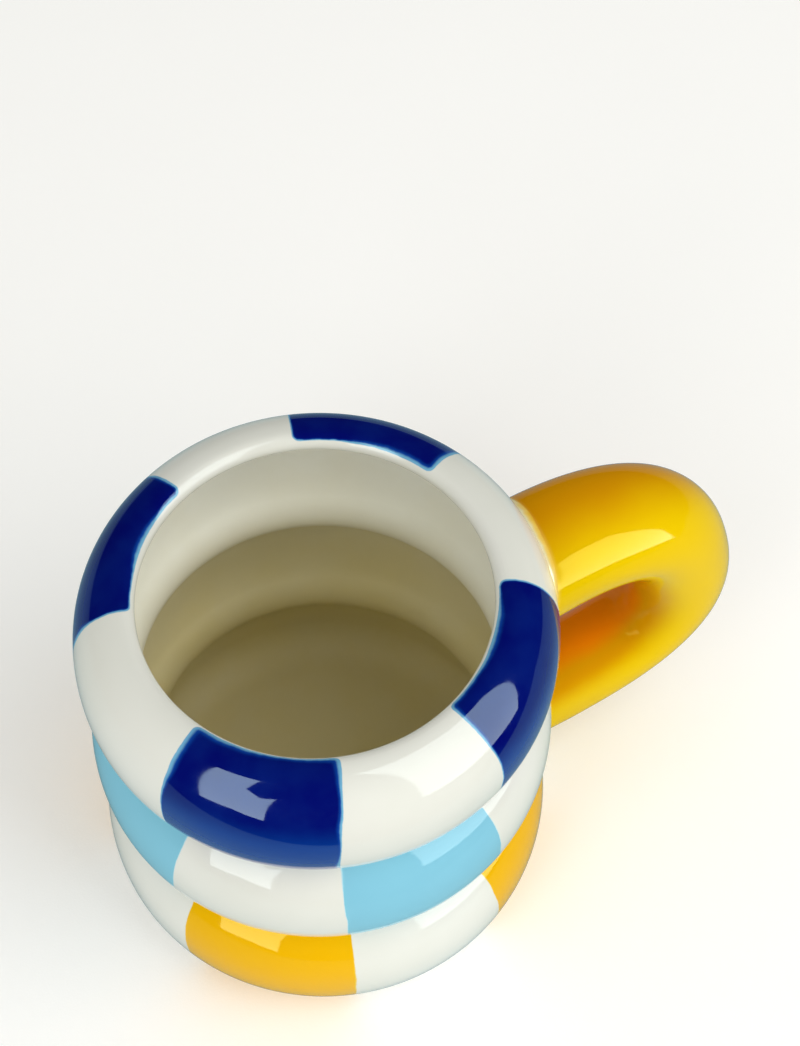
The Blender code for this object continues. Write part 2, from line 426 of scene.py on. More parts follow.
@dataclass(frozen=True)
class Checker:
    """Distances to the edges of the painted patches, on the unrolled wall."""

    shape: CupShape
    corner: float = 0.0014  # radius of a patch's corners
    lip_radius: float = 0.0333  # the cobalt stops here on the inner side of the lip
    foot_height: float = 0.0009  # the yellow stops here above the underside
    crease_gap: float = 0.00012  # paint stops this short of the bottom of a crease
    far: float = -0.006  # the smallest distance kept

    def limits(self, section: Section, ring: int) -> tuple[float, float]:
        """Where on the section line a ring's paint starts, above, and ends, below."""
        painted = section.zone == Zone.PAINTED.value
        rows = np.flatnonzero(painted & (section.ring == ring))
        along = section.along
        half_step = (along[rows[-1] + 1] - along[rows[-1]]) / 2
        start = along[rows[0]] - half_step + self.crease_gap
        end = along[rows[-1]] + half_step - self.crease_gap
        if ring == self.shape.ring_count - 1:
            start = along[rows[section.radius[rows] < self.lip_radius][-1]]
        if ring == 0:
            end = along[rows[section.height[rows] > self.foot_height][-1]]
        return start, end

    def map_of(self, band: Band, section: Section, degrees: Array) -> Array:
        """Distance inwards from the nearest outline of a band's patches, in millimetres.

        Each outline is a rectangle with rounded corners. With x the smaller distance to
        its two upright edges and y that to its two level edges, the distance is
        corner - |max(corner - x, 0), max(corner - y, 0)| - min(max(corner - x, corner - y), 0).

        Args:
            band: The patches of one colour.
            section: The cup's section line.
            degrees: The angle of each column.

        Returns:
            A distance for each point of the section and each column.
        """
        start, end = self.limits(section, band.ring)
        along, radius = section.along[:, None], section.radius[:, None]
        short_y = self.corner - np.minimum(along - start, end - along)
        middle = self.shape.ring_heights()[band.ring]
        rise = ((section.height - middle) / self.shape.ring_rise)[:, None]
        nearest = np.full(np.broadcast_shapes(radius.shape, degrees.shape), self.far)
        for first, last in band.patches:
            left = (degrees - first.angle(rise) + 180) % 360 - 180
            right = (last.angle(rise) - degrees + 180) % 360 - 180
            short_x = self.corner - np.radians(np.minimum(left, right)) * radius
            outside = np.hypot(np.maximum(short_x, 0), np.maximum(short_y, 0))
            inside = np.minimum(np.maximum(short_x, short_y), 0)
            nearest = np.maximum(nearest, self.corner - outside - inside)
        return nearest * MM


# ------ line of the handle


class End(Enum):
    """The two arms of the handle, each with the angles that bracket its joint."""

    UPPER = (math.radians(125), math.radians(35))
    LOWER = (math.radians(-150), math.radians(-55))


@dataclass(frozen=True)
class HandleShape:
    """Sizes of the handle's loop, and points on tubes that follow it."""

    centre_radius: float = 0.0475
    centre_height: float = 0.0443
    half_length: float = 0.0321
    half_height: float = 0.0275
    tilt: float = math.radians(16.5)
    power: float = 2.4
    tube_radius: float = 0.01088
    taper: float = 0.0010
    swell: float = 0.0042  # the lower arm is this much thicker inside the loop
    swell_start: float = math.radians(-50)
    swell_sweep: float = math.radians(45)

    def centre(self, angle: Array) -> Array:
        """The centre line in the XZ plane, a superellipse turned by the tilt."""
        exponent = 2 / self.power
        along = self.half_length * signed_power(np.cos(angle), exponent)
        across = self.half_height * signed_power(np.sin(angle), exponent)
        cosine, sine = math.cos(self.tilt), math.sin(self.tilt)
        x = self.centre_radius + along * cosine - across * sine
        return joined(x, 0.0, self.centre_height + along * sine + across * cosine)

    def travel(self) -> tuple[Array, Array]:
        """Angles round the loop and the length of centre line travelled to each."""
        angles = np.linspace(End.UPPER.value[0], End.LOWER.value[0], 4000)
        steps = np.linalg.norm(np.diff(self.centre(angles), axis=0), axis=1)
        return angles, np.concatenate([[0], np.cumsum(steps)])

    def point(self, travelled: Array, turn: Array, share: object = 1.0, extra: object = 0.0) -> Array:
        """Points on a tube round the centre line.

        A point is the centre plus its distance from it times (cos turn * the normal
        in the XZ plane + sin turn * the Y axis). That distance is share times the
        tube's own radius, plus extra. The lower arm swells towards the cup on the
        side that faces the loop's inside.

        Args:
            travelled: Length along the centre line.
            turn: Angle round the tube; 0 faces away from the loop's inside.
            share: Share of the tube's radius.
            extra: Distance added to it.

        Returns:
            The points, with the shape that the arguments share and a last axis of three.
        """
        angles, lengths = self.travel()
        path = self.centre(angles)
        tangents = np.gradient(path, lengths, axis=0)
        smooth = np.ones(9) / 9
        tangents[4:-4] = joined(*(np.convolve(line, smooth, "valid") for line in tangents.T))
        tangents /= np.linalg.norm(tangents, axis=1, keepdims=True)
        centre = joined(*(np.interp(travelled, lengths, line) for line in path.T))
        x, _, z = (np.interp(travelled, lengths, line) for line in tangents.T)
        angle = np.interp(travelled, lengths, angles)
        low = np.clip((self.swell_start - angle) / self.swell_sweep, 0, 1)
        swell = self.swell * low**2 * (3 - 2 * low) * np.maximum(-np.cos(turn), 0) ** 2
        radius = share * (self.tube_radius + self.taper * angle + swell) + extra
        outward = joined(-z * np.cos(turn), np.sin(turn), x * np.cos(turn))
        return centre + radius[..., None] * outward

    def travel_at(
        self, end: End, cup: CupShape, turn: Array, share: object, extra: object, stand: object
    ) -> Array:
        """Where lines along a tube come to stand a set distance off the cup's wall.

        Args:
            end: The arm to look at.
            cup: The cup whose wall is measured.
            turn: Angle of each line round the tube.
            share: Share of the tube's radius for each line.
            extra: Distance added to it.
            stand: Distance off the wall; negative is inside the clay.

        Returns:
            Length along the centre line for each, found by halving the bracket.
        """
        angles, lengths = self.travel()
        inner, outer = (
            np.full(np.shape(turn), np.interp(-limit, -angles, lengths)) for limit in end.value
        )
        for _ in range(26):
            middle = (inner + outer) / 2
            clear = cup.wall_distance(self.point(middle, turn, share, extra)) > stand
            outer, inner = np.where(clear, middle, outer), np.where(clear, inner, middle)
        return (inner + outer) / 2


# ------ shader helpers


class Graph:
    """A node tree with short ways to add and join its nodes."""

    def __init__(self, tree: bpy.types.NodeTree) -> None:
        """Keep the tree to add to."""
        self.tree = tree

    def add(self, kind: str, **settings: object) -> Node:
        """A new node of a kind, with its properties set."""
        node = self.tree.nodes.new(kind)
        for name, value in settings.items():
            setattr(node, name, value)
        return node

    def feed(self, socket: Socket, value: object) -> None:
        """Link a socket to the value, or set it where the value is a plain one."""
        if isinstance(value, Socket):
            self.tree.links.new(value, socket)
        elif isinstance(value, tuple) and socket.type == "RGBA":
            socket.default_value = (*value, 1.0)
        else:
            socket.default_value = value

    def fill(self, node: Node, inputs: dict[int | str, object]) -> Node:
        """Feed some of a node's inputs, each by its name or number, and return the node."""
        for key, value in inputs.items():
            self.feed(node.inputs[key], value)
        return node

    def result(
        self, kind: str, inputs: dict[int | str, object], output: int | str = 0, **settings: object
    ) -> Socket:
        """One output of a new node whose inputs and properties are set."""
        return self.fill(self.add(kind, **settings), inputs).outputs[output]

    def math(self, operation: str, first: object, second: object) -> Socket:
        """The result of a Math node."""
        return self.result("ShaderNodeMath", {0: first, 1: second}, operation=operation)

    def plus(self, first: object, second: object) -> Socket:
        """The sum of two values."""
        return self.math("ADD", first, second)

    def times(self, first: object, second: object) -> Socket:
        """The product of two values."""
        return self.math("MULTIPLY", first, second)

    def ease(
        self, value: object, low: object, high: object, to_low: float = 0.0, to_high: float = 1.0
    ) -> Socket:
        """A value eased from to_low to to_high as it goes from low to high."""
        inputs = dict(enumerate((value, low, high, to_low, to_high)))
        return self.result("ShaderNodeMapRange", inputs, "Result", interpolation_type="SMOOTHSTEP")

    def mix(self, share: object, first: object, second: object) -> Socket:
        """Two colours mixed by a share."""
        return self.result("ShaderNodeMix", {0: share, 6: first, 7: second}, 2, data_type="RGBA")

    def value(self, name: str) -> Socket:
        """A number stored on the piece's points."""
        return self.result("ShaderNodeAttribute", {}, "Fac", attribute_name=name)

    def object_place(self) -> Socket:
        """The place on the piece, in metres."""
        return self.result("ShaderNodeTexCoord", {}, "Object")

    def stretched(self, vector: Socket, scale: Colour) -> Socket:
        """A place multiplied by a scale for each axis."""
        return self.result("ShaderNodeMapping", {"Vector": vector, "Scale": scale})

    def noise(self, vector: Socket, scale: float, detail: float = 2.0, rough: float = 0.5) -> Socket:
        """Smooth noise from 0 to 1."""
        inputs = {"Vector": vector, "Scale": scale, "Detail": detail, "Roughness": rough}
        return self.result("ShaderNodeTexNoise", inputs, "Fac")

    def swing(self, vector: Socket, scale: float, detail: float, reach: float) -> Socket:
        """Smooth noise about zero, reach from its lowest to its highest."""
        return self.times(self.math("SUBTRACT", self.noise(vector, scale, detail), 0.5), reach)

    def group(self, tree: bpy.types.NodeTree, **inputs: object) -> Node:
        """A node group placed with its inputs."""
        return self.fill(self.add("ShaderNodeGroup", node_tree=tree), inputs)

    def bump(self, height: Socket, distance: float) -> Socket:
        """The normal of a relief whose heights are counted in a distance in metres."""
        inputs = {"Strength": 1.0, "Distance": distance, "Height": height}
        return self.result("ShaderNodeBump", inputs, "Normal")


Recipe = Callable[[Graph], Socket]


def new_material(name: str) -> tuple[Material, Graph, Node]:
    """A new material, its graph and its Principled shader."""
    material = bpy.data.materials.new(name)
    material.use_nodes = True
    return material, Graph(material.node_tree), material.node_tree.nodes["Principled BSDF"]


def new_group(
    name: str, inputs: dict[str, str], outputs: tuple[str, ...]
) -> tuple[Graph, Node, Node]:
    """An empty shader node group.

    Args:
        name: Name of the group.
        inputs: Socket type of each input by name.
        outputs: Name of each output; all are plain numbers.

    Returns:
        Its graph, its input node and its output node.
    """
    tree = bpy.data.node_groups.new(name, "ShaderNodeTree")
    for label, kind in inputs.items():
        tree.interface.new_socket(label, in_out="INPUT", socket_type=kind)
    for label in outputs:
        tree.interface.new_socket(label, in_out="OUTPUT", socket_type=FLOAT)
    graph = Graph(tree)
    return graph, graph.add("NodeGroupInput"), graph.add("NodeGroupOutput")


FLOAT, VECTOR = "NodeSocketFloat", "NodeSocketVector"


def brushed_patch_group() -> bpy.types.NodeTree:
    """Brush-laid paint: from a distance to its outline, how it covers and where it thins.

    The outline wanders by slow and fine noise. Cover is 1 under the paint. Body is 0
    along the outline, where the paint thins to a wash, and 1 where it is laid thick;
    between them it runs in strokes along the ring's section. Ridge is the bead of
    paint along the outline.
    """
    inputs = {"Distance": FLOAT, "Wander": FLOAT, "Thinning": FLOAT, "Strokes": VECTOR}
    graph, given, result = new_group("brushed_patch", inputs, ("Cover", "Body", "Ridge"))
    place = graph.object_place()
    unsteady = graph.plus(graph.swing(place, 170.0, 1.0, 1.0), graph.swing(place, 900.0, 2.0, 0.35))
    wander = graph.times(unsteady, given.outputs["Wander"])
    distance = graph.plus(given.outputs["Distance"], wander)
    cover = graph.ease(distance, -0.10, 0.10)
    width = graph.ease(graph.noise(place, 60.0, 0.0), 0.35, 0.65, 0.35, 1.2)
    reach = graph.times(width, given.outputs["Thinning"])
    depth = graph.plus(distance, graph.swing(given.outputs["Strokes"], 1.0, 2.0, 0.45))
    body = graph.ease(depth, 0.05, reach)
    rising = graph.ease(distance, -0.05, 0.22)
    falling = graph.ease(distance, 0.25, 0.75, 1.0, 0.0)
    graph.fill(result, {"Cover": cover, "Body": body, "Ridge": graph.times(rising, falling)})
    return graph.tree


def glaze_skin_group() -> bpy.types.NodeTree:
    """The glaze's own surface: slow waves and a fine orange peel.

    Height is in millimetres. Gloss is a small change of roughness over the surface.
    """
    inputs = {"Waves": FLOAT, "Peel": FLOAT}
    graph, given, result = new_group("glaze_skin", inputs, ("Height", "Gloss"))
    place = graph.object_place()
    waves = graph.times(graph.noise(place, 95.0, 1.0, 0.4), given.outputs["Waves"])
    peel = graph.times(graph.noise(place, 900.0, 2.0), given.outputs["Peel"])
    gloss = graph.ease(graph.noise(place, 240.0, 3.0), 0.3, 0.7)
    graph.fill(result, {"Height": graph.plus(waves, peel), "Gloss": gloss})
    return graph.tree


# ------ finishes


@dataclass(frozen=True)
class PaintFinish:
    """Colours of one paint under the glaze, in linear values."""

    thick: Colour
    middle: Colour
    wash: Colour
    low: Colour  # painted reflection and bounce light of the pale table on the lower half of a ring
    thinning: float  # millimetres over which it thins towards its outline


PAINTS = {
    Paint.COBALT: PaintFinish(
        (0.0006, 0.0022, 0.125), (0.003, 0.045, 0.29), (0.16, 0.42, 0.62), (0.0008, 0.030, 0.225), 1.8
    ),
    Paint.SKY: PaintFinish(
        (0.205, 0.500, 0.640), (0.24, 0.55, 0.69), (0.44, 0.68, 0.76), (0.205, 0.500, 0.640), 0.7
    ),
    Paint.YELLOW: PaintFinish(
        (0.77, 0.42, 0.002), (0.77, 0.45, 0.004), (0.76, 0.56, 0.10), (0.78, 0.42, 0.001), 0.5
    ),
}


class Kiln:
    """Makes the mug's finishes; each effect they share is a node group made once."""

    def __init__(self) -> None:
        """Make the shared node groups."""
        self.patch = brushed_patch_group()
        self.skin = glaze_skin_group()

    def material(
        self,
        name: str,
        roughness: Recipe,
        colour: Recipe,
        height: Recipe,
        sheen: Recipe | Colour = (1.0, 1.0, 1.0),
        level: float = 0.5,
    ) -> Material:
        """A glazed or bare ceramic material.

        Args:
            name: Name of the material.
            roughness: Function that takes the graph and returns the roughness's socket.
            colour: The same for the colour.
            height: The same for the relief in millimetres.
            sheen: Tint of reflections seen straight on, or the same for it.
            level: Strength of reflections; 0.5 is that of plain glaze.

        Returns:
            The material.
        """
        material, graph, shader = new_material(name)
        inputs = {
            "IOR": 1.52,
            "Specular IOR Level": level,
            "Normal": graph.bump(height(graph), 1 / MM),
            "Base Color": colour(graph),
            "Roughness": roughness(graph),
            "Specular Tint": sheen(graph) if callable(sheen) else sheen,
        }
        graph.fill(shader, inputs)
        return material

    def gloss(self, low: float, high: float) -> Recipe:
        """Roughness between low and high, from the glaze's own variation."""
        made = {"Waves": 0.0, "Peel": 0.0}
        return lambda graph: graph.ease(graph.group(self.skin, **made).outputs["Gloss"], 0.0, 1.0, low, high)

    def relief(self, waves: float, peel: float) -> Recipe:
        """The glaze's waves and orange peel, in millimetres."""
        return lambda graph: graph.group(self.skin, Waves=waves, Peel=peel).outputs["Height"]

    def patches(self, graph: Graph) -> dict[Paint, Node]:
        """The brushed-patch group placed once for each paint."""
        uv = graph.add("ShaderNodeUVMap", uv_map="wall").outputs["UV"]
        strokes = graph.stretched(uv, (90.0, 9.0, 1.0))
        placed = {}
        for paint, finish in PAINTS.items():
            inputs = {"Distance": graph.value(paint.value), "Wander": 0.5, "Thinning": finish.thinning}
            placed[paint] = graph.group(self.patch, Strokes=strokes, **inputs)
        return placed

    def painted_colour(self, graph: Graph) -> Socket:
        """White glaze with the three paints laid on it and a tint in the creases."""
        place = graph.object_place()
        cloud = graph.ease(graph.noise(place, 38.0, 3.0), 0.3, 0.7)
        colour = graph.mix(cloud, (0.690, 0.697, 0.640), (0.722, 0.728, 0.678))
        # Darker, greener white towards the bottom of each crease.
        near_crease = graph.ease(graph.value("crease"), 0.3, 3.2, 0.55, 0.0)
        colour = graph.mix(near_crease, colour, (0.62, 0.66, 0.62))
        # Painted reflection: each paint turns to its low colour on the lower half of a ring.
        low = graph.ease(graph.value("rise"), 0.58, 0.15)
        for paint, node in self.patches(graph).items():
            finish, body = PAINTS[paint], node.outputs["Body"]
            laid = graph.mix(graph.ease(body, 0.0, 0.45), finish.wash, finish.middle)
            thick = graph.mix(low, finish.thick, finish.low)
            laid = graph.mix(graph.ease(body, 0.35, 1.0), laid, thick)
            uneven = graph.ease(graph.noise(place, 120.0, 3.0), 0.25, 0.75, 0.0, 0.16)
            laid = graph.mix(uneven, laid, finish.middle)
            colour = graph.mix(node.outputs["Cover"], colour, laid)
        return colour

    def painted_height(self, graph: Graph) -> Socket:
        """Waves of the glaze, with the paint standing up slightly along its outline."""
        height = self.relief(0.050, 0.0012)(graph)
        for node in self.patches(graph).values():
            height = graph.plus(height, graph.times(node.outputs["Ridge"], 0.006))
        return height

    def painted_sheen(self, graph: Graph) -> Socket:
        """Reflections take a little of the cobalt's and the yellow's own colour."""
        cobalt, yellow = (
            graph.ease(graph.value(paint.value), -0.1, 0.1) for paint in (Paint.COBALT, Paint.YELLOW)
        )
        sheen = graph.mix(cobalt, (0.6, 0.62, 0.6), (0.75, 0.92, 1.0))
        return graph.mix(yellow, sheen, (0.8, 0.8, 0.25))

    def painted_glaze(self) -> Material:
        """The cup's outside: clear gloss over white with brushed patches."""
        finish = (self.gloss(0.035, 0.075), self.painted_colour, self.painted_height, self.painted_sheen)
        return self.material("painted_glaze", *finish)

    def liner_glaze(self) -> Material:
        """The inside: cream glaze with painted shade that darkens and warms it towards the floor."""

        def colour(graph: Graph) -> Socket:
            """Cream above, painted shade darker and warmer below, with faint clouds."""
            # Painted shade: the cream turns darker and warmer with depth below the lip.
            depth = graph.ease(graph.value("depth"), 8.0, 62.0)
            cloud = graph.ease(graph.noise(graph.object_place(), 55.0, 3.0), 0.3, 0.7, 0.0, 0.25)
            cream = graph.mix(depth, (0.89, 0.905, 0.86), (0.73, 0.635, 0.32))
            return graph.mix(cloud, cream, (0.76, 0.72, 0.55))

        def height(graph: Graph) -> Socket:
            """Slow waves and turning rings too faint to see but in reflections."""
            rings = graph.noise(graph.stretched(graph.object_place(), (1.0, 1.0, 700.0)), 1.0, 1.0)
            return graph.plus(self.relief(0.060, 0.0010)(graph), graph.times(rings, 0.004))

        return self.material("liner_glaze", self.gloss(0.48, 0.60), colour, height, level=0.22)

    def bare_clay(self) -> Material:
        """The wiped underside: fine white clay with grog specks and sponge marks."""

        def colour(graph: Graph) -> Socket:
            """Off-white clay, darker specks, and a grey rub where it stands."""
            place = graph.object_place()
            clay = graph.mix(graph.noise(place, 300.0, 4.0), (0.60, 0.55, 0.47), (0.72, 0.68, 0.60))
            specks = graph.ease(graph.noise(place, 2600.0, 1.0), 0.70, 0.78)
            rub = graph.ease(graph.noise(place, 70.0), 0.55, 0.8, 0.0, 0.5)
            return graph.mix(rub, graph.mix(specks, clay, (0.30, 0.24, 0.18)), (0.45, 0.43, 0.40))

        def roughness(graph: Graph) -> Socket:
            """Dry clay, here and there rubbed smoother."""
            return graph.ease(graph.noise(graph.object_place(), 500.0), 0.3, 0.7, 0.7, 0.9)

        def height(graph: Graph) -> Socket:
            """Grain of the clay."""
            return graph.times(graph.noise(graph.object_place(), 2200.0, 3.0), 0.05)

        return self.material("bare_clay", roughness, colour, height)

    def yellow_glaze(self) -> Material:
        """The handle: saturated yellow with painted shade in orange on top, behind and inside the loop."""

        def colour(graph: Graph) -> Socket:
            """Yellow with soft clouds, orange painted shade on top, behind and inside the loop, pale where
            the glaze thins.
            """
            # Painted shade from which way the handle faces, plus random mottling of the glaze's tone.
            thick = graph.plus(graph.value("handle_shade"), graph.swing(graph.object_place(), 70.0, 3.0, 0.35))
            yellow = graph.mix(graph.ease(thick, -0.6, 0.5), (0.73, 0.495, 0.001), (0.61, 0.26, 0.001))
            # Deepest orange painted shade inside the loop.
            yellow = graph.mix(graph.ease(thick, 0.65, 1.3), yellow, (0.82, 0.20, 0.001))
            thin = graph.ease(graph.value("off_wall"), 0.2, 1.9, 0.55, 0.0)
            return graph.mix(thin, yellow, (0.88, 0.66, 0.20))

        finish = (self.gloss(0.05, 0.09), colour, self.relief(0.045, 0.0012), (0.9, 0.82, 0.14), 0.15)
        return self.material("yellow_glaze", *finish)

    def joint_glaze(self) -> Material:
        """The beads of slip: yellow that breaks to cream towards the white wall."""

        def colour(graph: Graph) -> Socket:
            """Cream at the wall, yellow at the handle, with an uneven break between."""
            wander = graph.swing(graph.object_place(), 500.0, 2.0, 0.9)
            level = graph.plus(graph.value("off_wall"), wander)
            warm = graph.mix(graph.ease(level, -0.1, 0.75), (0.76, 0.70, 0.48), (0.80, 0.58, 0.14))
            return graph.mix(graph.ease(level, 0.5, 1.5), warm, (0.78, 0.45, 0.006))

        finish = (self.gloss(0.06, 0.12), colour, self.relief(0.050, 0.0030), (0.95, 0.9, 0.6))
        return self.material("joint_glaze", *finish)


# ------ pieces


@dataclass
class Cup:
    """The cup: a turned wall with three rings, painted outside and lined with cream."""

    shape: CupShape
    kiln: Kiln
    columns: int = 300

    def build(self) -> Piece:
        """The cup's mesh with its maps and finishes.

        The section line is turned round the axis: a point at angle a is
        (radius cos a, radius sin a, height). Its first and last points are the poles.

        Returns:
            The finished piece.
        """
        section = self.shape.section()
        angles = np.arange(self.columns) / self.columns * math.tau
        radius, height = section.radius[1:-1, None], section.height[1:-1, None]
        grid = joined(radius * np.cos(angles), radius * np.sin(angles), height)
        poles = tuple(np.array([0.0, 0.0, section.height[end]]) for end in (0, -1))
        cup = closed_mesh("painted_cup", grid, poles)
        self.store_maps(cup, section, angles)
        self.store_wall_map(cup, section)
        self.dress(cup, section)
        return cup

    def store_maps(self, cup: Piece, section: Section, angles: Array) -> None:
        """Store the distances to paint edges and creases, and the depth inside.

        Args:
            cup: The cup's mesh.
            section: Its section line.
            angles: The angle of each column.
        """
        checker = Checker(self.shape)
        for paint, band in CHECKER.items():
            values = checker.map_of(band, section, np.degrees(angles)[None, :])
            values[section.zone != Zone.PAINTED.value] = checker.far * MM
            add_values(cup, paint.value, values[1:-1], checker.far * MM)
        heights = np.array(self.shape.ring_heights())
        creases = (heights[1:] + heights[:-1]) / 2
        rows = {
            "crease": (np.abs(section.height[:, None] - creases).min(axis=1) * MM, 99.0),
            "rise": ((section.height - heights[np.maximum(section.ring, 0)]) / self.shape.ring_rise, 0.0),
            "depth": ((self.shape.crown - section.height) * MM, (self.shape.crown - section.height[0]) * MM),
        }
        for name, (values, fill) in rows.items():
            add_values(cup, name, np.repeat(values[1:-1], self.columns), fill)

    def store_wall_map(self, cup: Piece, section: Section) -> None:
        """Unroll the wall: u is the share of a turn, v the length along the section.

        Args:
            cup: The cup's mesh.
            section: Its section line.
        """
        mesh = cup.data
        held = np.empty(len(mesh.loops), int)
        mesh.loops.foreach_get("vertex_index", held)
        points = len(mesh.vertices) - 2
        column = np.where(held < points, held % self.columns, 0)
        row = np.where(held < points, held // self.columns + 1, 0)
        row = np.where(held == points + 1, len(section.along) - 1, row)
        counts = np.empty(len(mesh.polygons), int)
        mesh.polygons.foreach_get("loop_total", counts)
        face = np.repeat(np.arange(len(counts)), counts)
        has_last = np.zeros(len(counts), bool)
        np.logical_or.at(has_last, face, column == self.columns - 1)
        column = np.where(has_last[face] & (column == 0), self.columns, column)
        unrolled = joined(column / self.columns, section.along[row] / section.along[-1])
        layer = mesh.uv_layers.new(name="wall")
        layer.data.foreach_set("uv", unrolled.astype(np.float32).ravel())

    def dress(self, cup: Piece, section: Section) -> None:
        """Give each zone its finish; the rows of quads come first, then the two fans."""
        for material in (self.kiln.liner_glaze(), self.kiln.painted_glaze(), self.kiln.bare_clay()):
            cup.data.materials.append(material)
        zones = np.concatenate([section.zone[1:-2], [Zone.LINER.value, Zone.UNDERSIDE.value]])
        cup.data.polygons.foreach_set("material_index", np.repeat(zones, self.columns))


@dataclass
class Handle:
    """The looped handle, its ends sunk into the cup's wall, and its two slip joints."""

    shape: HandleShape
    cup: CupShape
    kiln: Kiln
    rows: int = 230
    columns: int = 112
    cap_rows: int = 7
    sink: float = -0.0012  # how far the ends lie inside the clay
    bead_columns: int = 144
    bead_width: float = 0.0008
    bead_reach: float = 0.0012
    bead_points: int = 15

    def tube(self) -> Piece:
        """The handle's tube, closed by caps that follow the wall inside the clay.

        Rows of the tube run at even shares of the length between its two ends, which
        differ for each angle round the tube, because the wall is round.

        Returns:
            The finished piece.
        """
        at, point = self.shape.travel_at, self.shape.point
        turn = np.arange(self.columns) / self.columns * math.tau
        shares = np.linspace(0, 1, self.cap_rows)[1:, None]
        upper, lower = (at(end, self.cup, turn, shares, 0.0, self.sink) for end in End)
        body = upper[-1] + (lower[-1] - upper[-1]) * np.linspace(0, 1, self.rows)[:, None]
        caps = point(upper[:-1], turn, shares[:-1]), point(lower[-2::-1], turn, shares[-2::-1])
        grid = np.concatenate([caps[0], point(body, turn), caps[1]])
        middle = np.zeros(1)
        poles = tuple(
            point(at(end, self.cup, middle, 0.0, 0.0, self.sink), middle, 0.0)[0] for end in End
        )
        tube = closed_mesh("looped_handle", grid, poles)
        add_values(tube, "off_wall", self.cup.wall_distance(grid) * MM)
        # Painted shade: how far each point faces away from the light, read by the glaze as orange.
        add_values(tube, "handle_shade", self.handle_shade(grid, turn))
        tube.data.materials.append(self.kiln.yellow_glaze())
        return tube

    def handle_shade(self, grid: Array, turn: Array) -> Array:
        """Painted shade on the handle: most inside the loop, then on top and behind.

        It is the dot product of the outward direction with a fixed slope, plus the
        cube of the share by which a point faces the loop's inside.

        Args:
            grid: Points of the tube.
            turn: The angle of each column round the tube.

        Returns:
            About -0.8 where it is lit to 1.3 where it is most shaded.
        """
        across = grid - np.roll(grid, len(turn) // 2, axis=1)
        across /= np.maximum(np.linalg.norm(across, axis=-1, keepdims=True), 1e-9)
        return across @ np.array([-0.45, 0.80, 0.45]) + 0.75 * np.maximum(-np.cos(turn), 0) ** 3

    def bead_section(self) -> tuple[Array, Array]:
        """The bead's closed section as distances off the wall and off the tube.

        The open side bulges from the wall up to a shallow groove against the tube:
        off the tube it is width * (1 - share^1.6)^0.8. The rest lies hidden inside
        the clay.

        Returns:
            Distances off the wall, and distances off the tube.
        """
        share = np.linspace(0, 1, self.bead_points)
        off = self.bead_width * (1 - share**1.6) ** 0.8 - 0.00015 * share
        stand = np.concatenate([share * self.bead_reach, [0.0009, -0.0005, -0.0007]])
        return stand, np.concatenate([off, [-0.0006, -0.0006, 0.0004]])

    def bead(self, name: str, end: End) -> Piece:
        """A slip joint: the bead's section carried round the tube along the wall.

        Args:
            name: Name of the piece.
            end: The arm that it joins.

        Returns:
            The finished piece.
        """
        turn = np.arange(self.bead_columns) / self.bead_columns * math.tau
        wave = 1 + 0.10 * np.sin(3 * turn + 0.7) + 0.06 * np.sin(7 * turn)
        stand, extra = (
            line[:, None] * np.where(line[:, None] > 0, wave, 1.0) for line in self.bead_section()
        )
        travelled = self.shape.travel_at(end, self.cup, turn, 1.0, extra, stand)
        grid = self.shape.point(travelled, turn, 1.0, extra)
        bead = closed_mesh(name, grid, None)
        add_values(bead, "off_wall", self.cup.wall_distance(grid) * MM)
        bead.data.materials.append(self.kiln.joint_glaze())
        return bead


# ------ stage


@dataclass(frozen=True)
class TableTop:
    """A pale table top whose near edge is a hand's width in front of the mug."""

    near: float = 0.121  # from the mug's axis to the near edge
    far: float = 0.75
    half_width: float = 0.80
    turn: float = math.radians(-10)  # of the near edge, seen from above
    edge_radius: float = 0.004
    drop: float = 0.04  # of the front face

    def build(self) -> Piece:
        """The table top: level, then rounded over its near edge and straight down."""
        bend, edge = np.linspace(0, math.pi / 2, 8), self.edge_radius - self.near
        level = np.linspace(self.far, edge, 24)
        y = np.concatenate([level, edge - self.edge_radius * np.sin(bend), [-self.near]])
        z = np.concatenate([0 * level, -self.edge_radius * (1 - np.cos(bend)), [-self.drop]])
        across, away = np.meshgrid(np.linspace(-self.half_width, self.half_width, 33), y)
        cosine, sine = math.cos(self.turn), math.sin(self.turn)
        points = joined(across * cosine - away * sine, across * sine + away * cosine, z[:, None])
        number = np.arange(across.size).reshape(across.shape)
        quads = joined(number[:-1, :-1], number[1:, :-1], number[1:, 1:], number[:-1, 1:])
        top = new_mesh("table_top", points.reshape(-1, 3), quads.reshape(-1, 4).tolist())
        top.data.materials.append(self.finish())
        return top

    def finish(self) -> Material:
        """Matt white board with a faint tooth."""
        material, graph, shader = new_material("white_board")
        place = graph.object_place()
        tint = graph.mix(graph.noise(place, 25.0, 3.0), (0.945, 0.945, 0.94), (0.96, 0.96, 0.955))
        path = graph.add("ShaderNodeLightPath").outputs
        inputs = {
            "Base Color": graph.mix(path["Is Glossy Ray"], tint, (0.22, 0.38, 0.44)),
            "Emission Color": (1.0, 1.0, 1.0),
            "Emission Strength": graph.times(path["Is Camera Ray"], 0.08),
            "Normal": graph.bump(graph.noise(place, 1800.0, 3.0), 0.00002),
            "Roughness": 0.9,
            "Specular IOR Level": 0.15,
        }
        graph.fill(shader, inputs)
        return material


